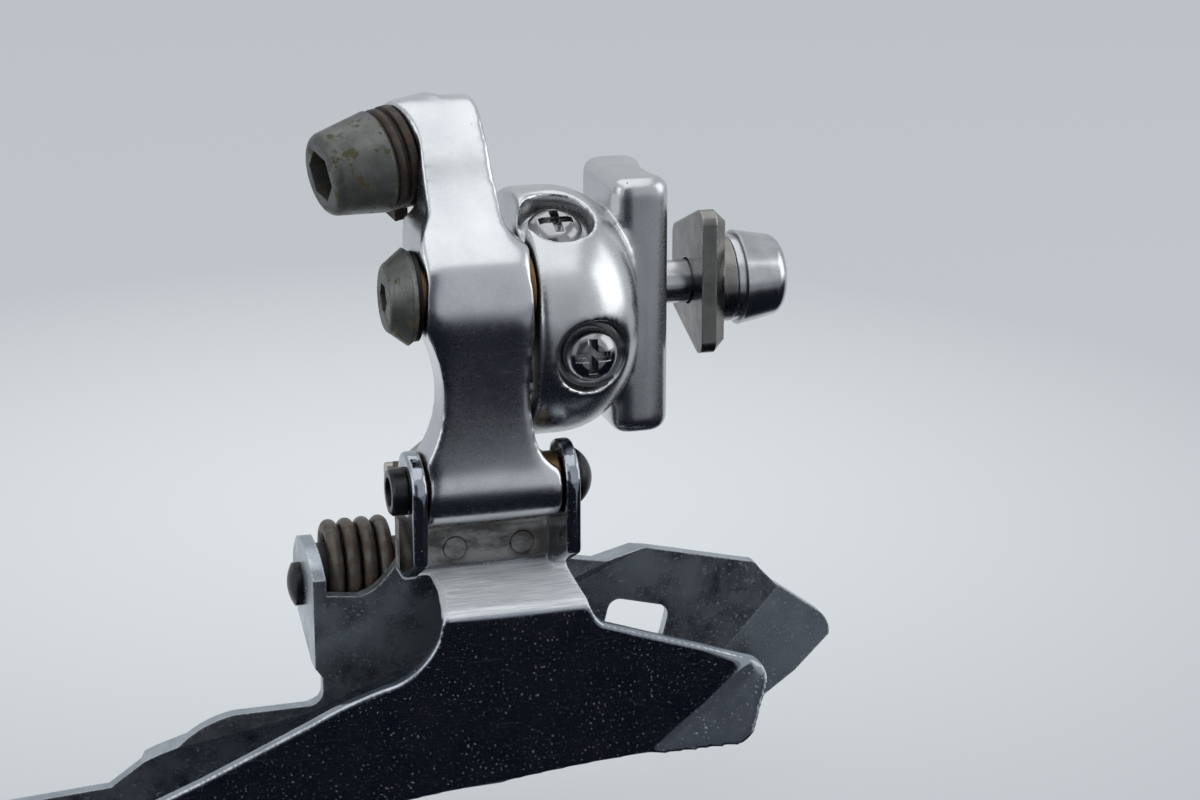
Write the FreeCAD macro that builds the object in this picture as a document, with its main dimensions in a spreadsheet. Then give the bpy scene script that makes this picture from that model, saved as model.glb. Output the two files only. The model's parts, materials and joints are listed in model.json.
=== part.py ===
import FreeCAD, Part
import math
import os

import Sketcher
from FreeCAD import Placement, Rotation, Vector

# A braze-on front derailleur for a road bicycle, in millimetres.
# +X points forward along the bicycle, +Y inward to the frame, +Z up along the mounting face.
# The origin lies on the mount bolt's axis, in the middle of the body's saddle face.

SIZES = {
    # Mounting flange and mount bolt
    "flange_up": 13.9, "flange_down": 15.8, "flange_width": 15.0, "flange_thickness": 6.0,
    "flange_round": 1.6, "flange_corner": 2.0, "flange_bevel": 1.8, "saddle_radius": 17.0,
    "saddle_angle": 18.0, "mount_shank_radius": 2.5, "mount_thread_depth": 6.8, "mount_grip": 4.8,
    "mount_head_radius": 5.5, "mount_head_end_radius": 4.8, "mount_head_length": 5.3,
    "mount_head_round": 1.5, "mount_socket_flats": 5.0, "mount_socket_depth": 3.2,
    "clamp_plate_thickness": 3.1, "clamp_plate_near_up": 10.0, "clamp_plate_near_down": 8.1,
    "clamp_plate_far_up": 5.4, "clamp_plate_far_down": 4.0, "clamp_plate_near": 6.0,
    "clamp_plate_far": 5.5, "clamp_boss_height": 1.6, "clamp_boss_radius": 5.0,
    "clamp_plate_bevel": 1.4, "clamp_plate_corner": 1.5, "lock_washer_thickness": 1.1,
    "lock_washer_radius": 5.0,
    # Body dome
    "dome_radius": 14.0, "dome_left": 17.3, "dome_right": 4.0, "dome_end_round": 9.0,
    "dome_axis_out": 4.0, "dome_axis_down": 1.0, "dome_left_round": 0.6, "cavity_right": 8.0,
    "cavity_front": 4.4, "cavity_top": 1.2, "horn_room_out": 13.6, "horn_room_down": 12.6,
    "horn_room_corner": 4.8, "horn_room_roof": 3.4, "horn_room_neck": 7.6, "horn_room_up": 3.6,
    "horn_room_right": 14.1,
    # Linkage
    "outer_axis_out": 13.0, "outer_axis_up": 4.0, "link_length": 22.0, "inner_axis_in": 2.0,
    "inner_axis_drop": 15.3, "pivot_clearance": 0.06, "side_gap": 0.15, "bolt_hole_gap": 0.2,
    "bolt_point": 0.4, "fixed_clearance": 0.02, "thread_clearance": 0.05,
    # Outer link
    "arm_left": 30.0, "arm_right": 17.5, "arm_barrel_radius": 5.4, "arm_foot_radius": 4.15,
    "arm_web_front_radius": 60.0, "arm_web_back_radius": 16.5, "arm_waist_left_radius": 15.0,
    "arm_waist_right_radius": 26.0, "arm_flare_radius": 5.0, "arm_foot_left": 29.7,
    "arm_head_left": 28.2, "arm_head_right": 20.0, "arm_head_radius": 6.2, "arm_head_out": 1.5,
    "arm_head_up": 17.2, "arm_shoulder_radius": 3.4, "arm_neck_up": 12.4, "arm_foot_right": 14.5,
    "arm_lean": 40.0, "arm_throat_radius": 14.0, "arm_bush_wall": 1.0, "foot_bush_wall": 0.8,
    "foot_bush_length": 5.0,
    # Upper outer pivot bolt
    "pivot_bolt_radius": 3.0, "pivot_thread_radius": 2.5, "pivot_thread_length": 7.0,
    "pivot_head_radius": 5.3, "pivot_head_end_radius": 3.6, "pivot_head_length": 2.9,
    "pivot_socket_flats": 3.0, "pivot_socket_depth": 2.4, "thrust_washer_thickness": 0.5,
    "thrust_washer_radius": 4.9,
    # Cable anchor
    "anchor_out": 1.5, "anchor_up": 17.0, "anchor_turn": 13.1, "anchor_tilt": 8.0,
    "anchor_boss_radius": 6.1, "anchor_boss_length": 5.0, "anchor_seat_radius": 6.4,
    "anchor_seat": 28.9, "anchor_shank_radius": 2.5, "anchor_shank_length": 8.0,
    "anchor_head_radius": 5.7, "anchor_head_end_radius": 4.5, "anchor_head_length": 7.0,
    "anchor_head_round": 0.9, "anchor_socket_flats": 5.0, "anchor_socket_depth": 4.6,
    "anchor_washer_radius": 5.75, "anchor_washer_thickness": 2.6, "anchor_washer_groove": 0.5,
    "anchor_tongue_width": 2.6, "anchor_tongue_length": 1.5,
    # Inner link
    "inner_link_left": 28.2, "inner_link_top_left": 22.4, "inner_link_right": 17.6,
    "inner_eye_radius": 4.0, "inner_left_flare": 4.4, "inner_right_flare": 4.6,
    "inner_right_neck": 2.0, "inner_web_thickness": 4.0, "inner_pin_radius": 2.4,
    "inner_pin_thread_length": 6.0, "inner_pin_thread_radius": 2.0, "inner_pin_head_radius": 3.9,
    "inner_pin_head_length": 1.3, "inner_bush_wall": 0.7, "low_cam_left": 12.8,
    "low_cam_right": 9.4, "high_cam_left": 16.9, "high_cam_right": 14.5, "cam_thickness": 3.2,
    "cam_gap": 0.1, "cam_past_screw": 2.4, "inner_link_foot_right": 15.1, "swing": 36.0,
    # Limit screws
    "limit_head_radius": 3.0, "limit_head_height": 2.2, "limit_shank_radius": 1.9,
    "limit_recess_radius": 4.1, "limit_cross_width": 1.0, "limit_cross_length": 3.9,
    "limit_cross_depth": 1.3, "limit_head_dome": 2.6, "low_screw_left": 11.1, "low_screw_down": 3.3,
    "low_screw_out": 16.9, "low_screw_tip_out": 1.2, "limit_head_gap": 0.2, "high_screw_left": 13.3,
    "high_screw_tilt": 64.5, "high_screw_head_depth": 1.2, "high_screw_length": 10.5,
    "high_stop_gap": 0.25,
    # Cage
    "web_top": 24.6, "cage_split": 34.6, "outer_nose_slope": 39.1, "inner_nose_slope": 48.3,
    "cage_belly": 190.0, "tail_end": 4.6, "tail_shoulder_slope": 9.5, "ear_straight": 7.6,
    "inner_plate_out": 0.8, "shoulder_bend": 60.0, "inner_web_top": 24.6, "rivet_left": 25.0,
    "rivet_right": 17.2, "rivet_down": 26.9, "tail_head_dome": 2.2, "window_left": 5.7,
    "window_down": 42.7, "window_lean": 14.0, "spring_tail": 13.0, "sheet": 1.7, "inner_sheet": 1.5,
    "cage_web_out": 8.6, "ear_left": 31.6, "ear_right": 12.6, "ear_radius": 4.35, "ear_lean": 50.0,
    "ear_foot_down": 29.4, "foot_pin_radius": 2.2, "foot_pin_left_length": 1.8,
    "foot_pin_left_radius": 2.65, "foot_pin_head_radius": 3.1, "foot_pin_head_length": 2.2,
    "neck_left": 28.0, "neck_right": 12.2, "neck_left_flare": 0.8, "neck_right_flare": 2.2,
    "shelf_down": 29.3, "shelf_drop": 1.8, "cage_out": 16.7, "shelf_bend": 1.6, "shelf_sweep": 2.6,
    "outer_nose_bend": 36.0, "inner_nose_bend": 24.0, "inner_web_left": 41.0,
    "inner_web_right": 12.6, "shoulder_slope": 22.8, "shoulder_down": 45.6, "inner_ear_right": 13.4,
    "rear_ear_up": 5.8, "rear_ear_down": 7.2, "inner_ear_height": 4.6, "lower_pin_radius": 2.0,
    "lower_pin_head_radius": 2.5, "lower_pin_head_length": 1.4, "lower_rivet_length": 1.0,
    "rivet_radius": 1.3, "rivet_head_radius": 2.0, "rivet_head_height": 0.6, "tail_back": 84.0,
    "tail_down": 60.5, "tail_screw_radius": 1.95, "tail_head_radius": 3.4, "tail_head_height": 2.0,
    "tail_spacer_radius": 3.4, "tail_nut_flats": 6.6, "tail_nut_height": 2.6, "window_length": 7.6,
    "window_height": 5.0, "window_round": 1.4,
    # Return spring
    "spring_wire": 1.8, "spring_radius": 6.2, "spring_pitch": 1.95, "spring_turns": 4.0,
    "spring_bush_radius": 4.5, "spring_leg": 8.0, "spring_peg_up": 12.5, "spring_peg_radius": 1.2,
    "spring_peg_gap": 0.6, "spring_lean": 19.0,
}

doc = FreeCAD.newDocument("front_derailleur")
sheet = doc.addObject("Spreadsheet::Sheet", "Sizes")
for row, (alias, number) in enumerate(SIZES.items(), start=1):
    sheet.set("A%d" % row, alias)
    sheet.set("B%d" % row, str(number))
    sheet.setAlias("B%d" % row, alias)
doc.recompute()


class Size:
    """A length or angle that keeps both its value and the expression that gives it."""

    def __init__(self, value, text):
        self.value = float(value)
        self.text = text

    def join(self, other, sign, value):
        return Size(value, "(%s %s %s)" % (self.text, sign, size(other).text))

    def __add__(self, other):
        return self.join(other, "+", self.value + size(other).value)

    def __sub__(self, other):
        return self.join(other, "-", self.value - size(other).value)

    def __mul__(self, other):
        return self.join(other, "*", self.value * size(other).value)

    def __truediv__(self, other):
        return self.join(other, "/", self.value / size(other).value)

    def __radd__(self, other):
        return size(other) + self

    def __rsub__(self, other):
        return size(other) - self

    def __rmul__(self, other):
        return size(other) * self

    def __neg__(self):
        return size(0) - self


def size(value):
    """Turn a plain number into a Size."""
    if isinstance(value, Size):
        return value
    return Size(value, "%.6g" % value if value >= 0 else "(%.6g)" % value)


def dome(radius, height):
    """Radius of the ball that gives a head of this radius a dome of this height."""
    return (radius * radius + height * height) / (2 * height)


def sine(angle):
    return Size(math.sin(math.radians(angle.value)), "sin(%s)" % angle.text)


def cosine(angle):
    return Size(math.cos(math.radians(angle.value)), "cos(%s)" % angle.text)


class Named:
    """The driving sizes by name."""

    def __getattr__(self, alias):
        return Size(sheet.get(alias), "Sizes.%s" % alias)


d = Named()


def bind(thing, prop, value):
    """Set a property and tie it to its expression."""
    thing.setExpression(prop, size(value).text)


def put(thing, at, rotation=Rotation()):
    """Place an object and tie its place to the sizes; a ready Placement is taken as it is."""
    if isinstance(at, Placement):
        thing.Placement = at
        return
    at = [size(value) for value in at]
    thing.Placement = Placement(Vector(*[value.value for value in at]), rotation)
    for axis, value in zip("xyz", at):
        bind(thing, "Placement.Base.%s" % axis, value)


def draw(sketch, outline):
    """Close a loop of lines and arcs through points; a third number is an arc's radius.

    The arc bulges to the left of the way along the loop, or to the right if its radius is negative.
    """
    points = [tuple(size(value) for value in point) for point in outline]
    spots = [Vector(point[0].value, point[1].value, 0) for point in points]
    first = sketch.GeometryCount
    ends = []
    for index, point in enumerate(points):
        start = spots[index - 1]
        end = spots[index]
        if len(point) == 2:
            sketch.addGeometry(Part.LineSegment(start, end), False)
            ends.append((1, 2))
            continue
        radius = abs(point[2].value)
        leftward = point[2].value > 0
        chord = end - start
        left = Vector(-chord.y, chord.x, 0).normalize()
        inset = math.sqrt(radius ** 2 - chord.Length ** 2 / 4)
        centre = (start + end) / 2 + left * (-inset if leftward else inset)
        turn = [math.atan2(spot.y - centre.y, spot.x - centre.x) for spot in (start, end)]
        if leftward:
            turn.reverse()
        circle = Part.Circle(centre, Vector(0, 0, 1), radius)
        sketch.addGeometry(Part.ArcOfCircle(circle, turn[0], turn[1]), False)
        ends.append((2, 1) if leftward else (1, 2))
    count = len(points)
    for index, point in enumerate(points):
        edge = first + index
        tip = ends[index][1]
        following = (index + 1) % count
        meeting = Sketcher.Constraint("Coincident", edge, tip, first + following, ends[following][0])
        sketch.addConstraint(meeting)
        for kind, value in (("DistanceX", point[0]), ("DistanceY", point[1])):
            number = sketch.addConstraint(Sketcher.Constraint(kind, -1, 1, edge, tip, value.value))
            bind(sketch, "Constraints[%d]" % number, value)
        if len(point) == 3:
            radius = point[2] if point[2].value > 0 else -point[2]
            number = sketch.addConstraint(Sketcher.Constraint("Radius", edge, radius.value))
            bind(sketch, "Constraints[%d]" % number, radius)


def disc(sketch, centre, radius):
    """Draw a circle."""
    x, y = (size(value) for value in centre)
    radius = size(radius)
    round_line = Part.Circle(Vector(x.value, y.value, 0), Vector(0, 0, 1), radius.value)
    circle = sketch.addGeometry(round_line, False)
    for kind, value in (("DistanceX", x), ("DistanceY", y)):
        number = sketch.addConstraint(Sketcher.Constraint(kind, -1, 1, circle, 3, value.value))
        bind(sketch, "Constraints[%d]" % number, value)
    number = sketch.addConstraint(Sketcher.Constraint("Radius", circle, radius.value))
    bind(sketch, "Constraints[%d]" % number, radius)


# Ways a piece can face: the local z axis goes to this direction.
LEFT = Rotation(Vector(0, 0, 1), Vector(-1, 0, 0))
RIGHT = Rotation(Vector(0, 0, 1), Vector(1, 0, 0))
INWARD = Rotation(Vector(0, 0, 1), Vector(0, 1, 0))
OUTWARD = Rotation(Vector(0, 0, 1), Vector(0, -1, 0))

# Sketch planes by name, as the turn that takes the sketch's x, y and normal into the part's frame.
FRONT = Rotation(Vector(1, 0, 0), Vector(0, 0, 1), Vector(0, -1, 0), "XYZ")
SIDE = Rotation(Vector(0, 1, 0), Vector(0, 0, 1), Vector(1, 0, 0), "XYZ")

subparts = []


def keep(thing, label):
    """Name a finished sub-part."""
    thing.Label = label
    subparts.append(thing)
    return thing


def new_body(name):
    return doc.addObject("PartDesign::Body", name + "_body")


def sketch_on(body, plane, offset=0):
    """A sketch on one of the body's own origin planes, moved along the plane's normal."""
    face = [item for item in body.Origin.OriginFeatures if item.Role == plane + "_Plane"][0]
    sketch = body.newObject("Sketcher::SketchObject", body.Name + "_sketch")
    sketch.AttachmentSupport = [(face, "")]
    sketch.MapMode = "FlatFace"
    offset = size(offset)
    sketch.AttachmentOffset = Placement(Vector(0, 0, offset.value), Rotation())
    bind(sketch, "AttachmentOffset.Base.z", offset)
    return sketch


def raise_pad(body, sketch, length):
    """Extrude a sketch along its normal."""
    pad = body.newObject("PartDesign::Pad", body.Name + "_pad")
    pad.Profile = sketch
    bind(pad, "Length", length)
    sketch.Visibility = False
    return pad


def cut_pocket(body, sketch, length, along_normal=False):
    """Cut a sketch into the body, against its normal unless told otherwise."""
    before = solid_volume(body)
    pocket = body.newObject("PartDesign::Pocket", body.Name + "_pocket")
    pocket.Profile = sketch
    pocket.Reversed = along_normal
    bind(pocket, "Length", length)
    if not solid_volume(body) < before:
        raise RuntimeError("a pocket in %s cuts nothing" % body.Name)
    return pocket


def solid_volume(body):
    doc.recompute()
    return body.Shape.Volume


def round_edges(body, radius, wanted, kind="Fillet"):
    """Round or bevel the edges for which wanted(edge) is true."""
    doc.recompute()
    edges = body.Shape.Edges
    names = ["Edge%d" % number for number, edge in enumerate(edges, start=1) if wanted(edge)]
    if not names:
        raise RuntimeError("no edge to round in %s" % body.Name)
    feature = body.newObject("PartDesign::" + kind, body.Name + "_" + kind.lower())
    feature.Base = (body.Tip if body.Tip is not feature else feature.BaseFeature, names)
    bind(feature, "Radius" if kind == "Fillet" else "Size", radius)
    doc.recompute()
    return feature


def polygon(flats, sides=6):
    """The corners of a regular polygon by its width across flats."""
    corners = []
    for index in range(sides):
        turn = size(360.0 * (index + 0.5) / sides)
        reach = flats / (2 * cosine(size(180.0 / sides)))
        corners.append((reach * cosine(turn), reach * sine(turn)))
    return corners


def turned(label, at, rotation, profile):
    """A turned piece: points (radius, length) spun round the piece's own z axis."""
    body = new_body(label)
    sketch = sketch_on(body, "XZ")
    draw(sketch, profile)
    spin = body.newObject("PartDesign::Revolution", label + "_spin")
    spin.Profile = sketch
    spin.ReferenceAxis = (sketch, ["V_Axis"])
    spin.Angle = 360.0
    doc.recompute()
    put(body, at, rotation)
    return keep(body, label)


def socket(body, flats, top, depth):
    """A hexagon socket sunk from the level top, which faces the piece's own +z."""
    sketch = sketch_on(body, "XY", top)
    draw(sketch, polygon(flats))
    cut_pocket(body, sketch, depth)


def cross_slot(body, top, depth):
    """A cross recess in a screw head whose top faces the piece's own +z."""
    wide = d.limit_cross_width / 2
    long = d.limit_cross_length / 2
    sketch = sketch_on(body, "XY", top)
    draw(sketch, [
        (-wide, long), (-wide, wide), (-long, wide), (-long, -wide), (-wide, -wide), (-wide, -long),
        (wide, -long), (wide, -wide), (long, -wide), (long, wide), (wide, wide), (wide, long)])
    cut_pocket(body, sketch, depth)


def prism(name, plane, outline, start, length, holes=()):
    """An outline in the front (x, z) or side (y, z) plane, extruded from start along +Y or +X."""
    sketch = doc.addObject("Sketcher::SketchObject", name + "_sketch")
    draw(sketch, outline)
    for centre, radius in holes:
        disc(sketch, centre, radius)
    place = (0, start, 0) if plane is FRONT else (start, 0, 0)
    put(sketch, place, plane)
    solid = doc.addObject("Part::Extrusion", name)
    solid.Base = sketch
    solid.DirMode = "Custom"
    solid.Dir = Vector(0, 1, 0) if plane is FRONT else Vector(1, 0, 0)
    solid.Solid = True
    bind(solid, "LengthFwd", length)
    return solid


def bent_sheet(name, section, at, slope, reach):
    """A sheet's section (distance across the bend, y), extruded both ways along a bend line.

    The bend line lies in a plane of constant y and rises forward at the angle slope.
    """
    lean = math.radians(slope.value)
    across = Vector(math.sin(lean), 0, -math.cos(lean))
    along = Vector(math.cos(lean), 0, math.sin(lean))
    sketch = doc.addObject("Sketcher::SketchObject", name + "_sketch")
    draw(sketch, section)
    put(sketch, at, Rotation(across, Vector(0, 1, 0), along, "XYZ"))
    solid = doc.addObject("Part::Extrusion", name)
    solid.Base = sketch
    solid.DirMode = "Custom"
    solid.Dir = along
    solid.Solid = True
    bind(solid, "LengthFwd", reach)
    bind(solid, "LengthRev", reach)
    return solid


def boolean(kind, name, first, second):
    """Cut, Common or Fuse of two objects."""
    result = doc.addObject("Part::" + kind, name)
    result.Base = first
    result.Tool = second
    if kind != "Common":
        result.Refine = True
    return result


def pin_hole(name, plane, centre, radius, start, length):
    """A cylinder along +X or +Y that cuts a hole."""
    hole = doc.addObject("Part::Cylinder", name)
    bind(hole, "Radius", radius)
    bind(hole, "Height", length)
    if plane is FRONT:
        put(hole, (centre[0], start, centre[1]), INWARD)
    else:
        put(hole, (start, centre[0], centre[1]), RIGHT)
    return hole


# Places that several pieces share
outer_axis = (-d.outer_axis_out, d.outer_axis_up)
foot_axis = (outer_axis[0], outer_axis[1] - d.link_length)
inner_axis = (d.inner_axis_in, d.outer_axis_up - d.inner_axis_drop)
lower_axis = (inner_axis[0], inner_axis[1] - d.link_length)
EXTRA = 1.0


def make_body():
    """The forged body: a dome that carries both upper pivots, and the flange that seats on the hanger."""
    body = new_body("body")
    dome = sketch_on(body, "XZ", d.dome_axis_out)
    dome.AttachmentOffset = Placement(Vector(0, -d.dome_axis_down.value, d.dome_axis_out.value), Rotation())
    bind(dome, "AttachmentOffset.Base.y", -d.dome_axis_down)
    bind(dome, "AttachmentOffset.Base.z", d.dome_axis_out)
    right = -(d.dome_right + d.dome_end_round)
    end = d.dome_radius - d.dome_end_round
    left, edge = -d.dome_left, d.dome_left_round
    draw(dome, [(left, 0), (left, d.dome_radius - edge), (left + edge, d.dome_radius, edge),
                (right, d.dome_radius), (-d.dome_right, end, d.dome_end_round), (-d.dome_right, 0)])
    spin = body.newObject("PartDesign::Revolution", "body_dome")
    spin.Profile = dome
    spin.ReferenceAxis = (dome, ["H_Axis"])
    spin.Angle = 360.0
    doc.recompute()

    flange = sketch_on(body, "XY", -d.flange_down)
    half = d.flange_width / 2
    lip = d.saddle_radius * sine(d.saddle_angle)
    rise = d.saddle_radius * (1 - cosine(d.saddle_angle))
    left, corner = -d.flange_thickness, d.flange_corner
    run, side = rise + d.flange_bevel, half - lip
    brow = (run * run + side * side) / (side * 2)
    draw(flange, [(left, corner - half), (left + corner, -half, -corner), (-d.flange_bevel, -half),
                  (rise, -lip, -brow), (rise, lip, d.saddle_radius), (-d.flange_bevel, half, -brow),
                  (left + corner, half), (left, half - corner, -corner)])
    raise_pad(body, flange, d.flange_up + d.flange_down)
    ends = (d.flange_up.value, -d.flange_down.value)
    round_edges(body, d.flange_round, lambda edge: min(abs(edge.CenterOfMass.z - z) for z in ends) < 1e-4)

    back = sketch_on(body, "YZ", -d.dome_left - EXTRA)
    far = d.dome_radius * 2
    draw(back, [(half, -far), (far, -far), (far, far), (half, far)])
    cut_pocket(body, back, d.dome_left + EXTRA * 2, along_normal=True)

    room = sketch_on(body, "YZ", -d.dome_left)
    draw(room, [(-d.cavity_front, -far), (far, -far), (far, d.cavity_top), (-d.cavity_front, d.cavity_top)])
    cut_pocket(body, room, d.dome_left - d.cavity_right, along_normal=True)

    horn_room = sketch_on(body, "YZ", -d.dome_left)
    inner_edge = -d.cavity_front + EXTRA
    draw(horn_room, [(inner_edge, -d.horn_room_down), (-d.horn_room_out, d.horn_room_corner - d.horn_room_down),
                     (-d.horn_room_out, -d.horn_room_roof), (-d.horn_room_neck, d.horn_room_up),
                     (inner_edge, d.horn_room_up)])
    cut_pocket(body, horn_room, d.dome_left - d.horn_room_right, along_normal=True)

    for axis, start, radius, depth in (
            (outer_axis, -d.dome_left, d.pivot_thread_radius, d.pivot_thread_length),
            (inner_axis, -d.cavity_right, d.inner_pin_thread_radius, d.inner_pin_thread_length)):
        bore = sketch_on(body, "YZ", start)
        disc(bore, axis, radius + d.thread_clearance)
        cut_pocket(body, bore, depth + EXTRA / 2, along_normal=True)
    tapped = sketch_on(body, "YZ", rise)
    disc(tapped, (0, 0), d.mount_shank_radius + d.thread_clearance)
    cut_pocket(body, tapped, d.mount_thread_depth + rise)

    low = sketch_on(body, "XZ", d.low_screw_out - d.limit_head_height - d.limit_head_gap)
    disc(low, (-d.low_screw_left, -d.low_screw_down), d.limit_recess_radius)
    cut_pocket(body, low, d.dome_radius, along_normal=True)
    low_thread = sketch_on(body, "XZ", d.low_screw_out)
    disc(low_thread, (-d.low_screw_left, -d.low_screw_down), d.limit_shank_radius + d.thread_clearance)
    cut_pocket(body, low_thread, d.low_screw_out - d.cavity_front + EXTRA)

    under_head = high_screw_level() - d.limit_head_height - d.limit_head_gap
    thread_bore = d.limit_shank_radius + d.thread_clearance
    for radius, start in ((d.limit_recess_radius, under_head),
                          (thread_bore, high_screw_level() - d.high_screw_length)):
        drill = body.newObject("PartDesign::SubtractiveCylinder", "body_high_screw_bore")
        bind(drill, "Radius", radius)
        bind(drill, "Height", d.dome_radius)
        place = high_screw_place(start)
        drill.AttachmentOffset = place
        drill.Placement = place
    doc.recompute()
    return keep(body, "body")


def high_screw_level():
    """Distance of the high screw's head top from the dome's axis."""
    return d.dome_radius - d.high_screw_head_depth


def high_screw_place(level):
    """A place on the high screw's axis, which runs out square to the dome."""
    lean = math.radians(d.high_screw_tilt.value)
    outward = Vector(0, -math.cos(lean), math.sin(lean))
    centre = Vector(-d.high_screw_left.value, -d.dome_axis_out.value, -d.dome_axis_down.value)
    return Placement(centre + outward * size(level).value, Rotation(Vector(0, 0, 1), outward))


def make_mount_hardware():
    """The bolt, its lock washer and the clamp plate that pulls the flange against the hanger."""
    plate_end = d.mount_grip + d.clamp_plate_thickness + d.clamp_boss_height
    head_start = plate_end + d.lock_washer_thickness
    total = d.mount_thread_depth - 2 * d.fixed_clearance + head_start + d.mount_head_length
    under = total - d.mount_head_length
    corner = d.mount_head_round
    bolt = turned("mount_bolt", (-d.mount_thread_depth + 2 * d.fixed_clearance, 0, 0), RIGHT, [
        (0, 0), (d.mount_shank_radius - d.bolt_point, 0), (d.mount_shank_radius, d.bolt_point),
        (d.mount_shank_radius, under),
        (d.mount_head_radius, under), (d.mount_head_end_radius, total - corner),
        (d.mount_head_end_radius - corner, total, -corner * 1.1), (0, total)])
    socket(bolt, d.mount_socket_flats, total, d.mount_socket_depth)

    bore, rim, thick = d.mount_shank_radius + d.bolt_hole_gap, d.lock_washer_radius, d.lock_washer_thickness
    turned("mount_lock_washer", (plate_end, 0, 0), RIGHT, [
        (bore, 0), (rim - d.bolt_hole_gap, 0), (rim, d.bolt_hole_gap), (rim, thick), (bore, thick)])

    plate = new_body("mount_clamp_plate")
    near, far = -d.clamp_plate_near, d.clamp_plate_far
    outline = sketch_on(plate, "YZ", d.mount_grip)
    draw(outline, [(near, d.clamp_plate_near_up), (near, -d.clamp_plate_near_down),
                   (far, -d.clamp_plate_far_down), (far, d.clamp_plate_far_up)])
    raise_pad(plate, outline, d.clamp_plate_thickness)
    outer_face = (d.mount_grip + d.clamp_plate_thickness).value
    round_edges(plate, d.clamp_plate_corner, lambda edge: edge.BoundBox.XLength > 1)
    round_edges(plate, d.clamp_plate_bevel, lambda edge: (
        abs(edge.CenterOfMass.x - outer_face) < 1e-4 and edge.Length > 3), "Chamfer")
    boss = sketch_on(plate, "YZ", d.mount_grip + d.clamp_plate_thickness - 0.1)
    disc(boss, (0, 0), d.clamp_boss_radius)
    raise_pad(plate, boss, d.clamp_boss_height + 0.1)
    hole = sketch_on(plate, "YZ", d.mount_grip - EXTRA)
    disc(hole, (0, 0), bore)
    cut_pocket(plate, hole, d.clamp_plate_thickness + d.clamp_boss_height + EXTRA * 2, along_normal=True)
    keep(plate, "mount_clamp_plate")


def make_outer_link():
    """The arm: upper barrel, waisted web, lower barrel, and the lever that leans in to the cable anchor."""
    body = new_body("outer_link")
    barrel, foot = d.arm_barrel_radius, d.arm_foot_radius
    out, up = outer_axis
    low = foot_axis[1]
    head = (-d.arm_head_out, d.arm_head_up)
    crown = d.arm_head_radius
    lean = d.arm_lean
    profile = sketch_on(body, "YZ", -d.arm_left)
    draw(profile, [
        (out - barrel * cosine(lean), up + barrel * sine(lean)),
        (head[0] - crown * cosine(lean), head[1] + crown * sine(lean)),
        (head[0] + crown * sine(lean), head[1] + crown * cosine(lean), crown),
        (head[0] + crown * cosine(lean), head[1] - crown * sine(lean), crown),
        (out + barrel * cosine(size(15)), up + barrel * sine(size(15)), -d.arm_throat_radius),
        (out + barrel * cosine(size(40)), up - barrel * sine(size(40)), barrel),
        (out + foot * cosine(size(30)), low + foot * sine(size(30)), -d.arm_web_back_radius),
        (out + foot * cosine(size(30)), low - foot * sine(size(30)), foot),
        (out - foot * cosine(size(10)), low - foot * sine(size(10)), foot),
        (out - foot * cosine(size(25)), low + foot * sine(size(25)), foot),
        (out - barrel * cosine(size(25)), up - barrel * sine(size(25)), -d.arm_web_front_radius)])
    raise_pad(body, profile, d.arm_left - d.arm_foot_right)

    left = sketch_on(body, "XZ", -d.dome_radius * 2)
    side, neck = -d.arm_head_left, d.arm_neck_up
    far = d.arm_left + 10
    foot_left = -d.arm_foot_left
    draw(left, [(-far, 40), (side, 40), (side, neck), (-d.arm_left, neck - 4.4, -9.0),
                (-d.arm_left, up - 3.0), (foot_left, low + 4.0, d.arm_waist_left_radius),
                (foot_left, low - foot - 2), (-far, low - foot - 2)])
    cut_pocket(body, left, far * 2, along_normal=True)
    right = sketch_on(body, "XZ", -d.dome_radius * 2)
    edge = -d.arm_head_right
    draw(right, [(far, 40), (far, low - foot - 2), (-d.arm_foot_right, low - foot - 2),
                 (-d.arm_foot_right, low + 2.0), (-d.arm_right, low + 6.2, d.arm_flare_radius),
                (-d.arm_right, up - 4.6, d.arm_waist_right_radius),
                 (-d.arm_right, up + 5.0), (edge, neck + 0.4, d.arm_shoulder_radius), (edge - 0.6, up + 18),
                 (edge - 3.2, up + 21.6, -3.8), (edge - 3.2, 40)])
    cut_pocket(body, right, far * 2, along_normal=True)

    boss = body.newObject("PartDesign::AdditiveCylinder", "outer_link_anchor_boss")
    bind(boss, "Radius", d.anchor_boss_radius)
    bind(boss, "Height", d.anchor_boss_length)
    place = anchor_place(-d.anchor_boss_length)
    boss.AttachmentOffset = place
    boss.Placement = place
    doc.recompute()
    length = d.anchor_shank_length
    for name, radius, depth, start in (
            ("seat", d.anchor_seat_radius, length, 0),
            ("thread", d.anchor_shank_radius + d.thread_clearance, length, -length)):
        cut = body.newObject("PartDesign::SubtractiveCylinder", "outer_link_anchor_" + name)
        bind(cut, "Radius", radius)
        bind(cut, "Height", depth)
        place = anchor_place(start)
        cut.AttachmentOffset = place
        cut.Placement = place
    doc.recompute()
    for axis, radius in ((outer_axis, d.pivot_bolt_radius + d.arm_bush_wall),
                         (foot_axis, d.foot_pin_radius + d.foot_bush_wall)):
        bore = sketch_on(body, "YZ", -d.arm_left - EXTRA)
        disc(bore, axis, radius + d.pivot_clearance + d.fixed_clearance)
        cut_pocket(body, bore, d.arm_left, along_normal=True)
    keep(body, "outer_link")


def anchor_place(level):
    """A place on the cable anchor's axis, level millimetres left of the arm's seat for the washer."""
    turn = math.radians(d.anchor_turn.value)
    tilt = math.radians(d.anchor_tilt.value)
    outward = Vector(-math.cos(turn) * math.cos(tilt), -math.sin(turn) * math.cos(tilt), -math.sin(tilt))
    seat = Vector(-d.anchor_seat.value, -d.anchor_out.value, d.anchor_up.value)
    return Placement(seat + outward * size(level).value, Rotation(Vector(0, 0, 1), outward))


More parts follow.
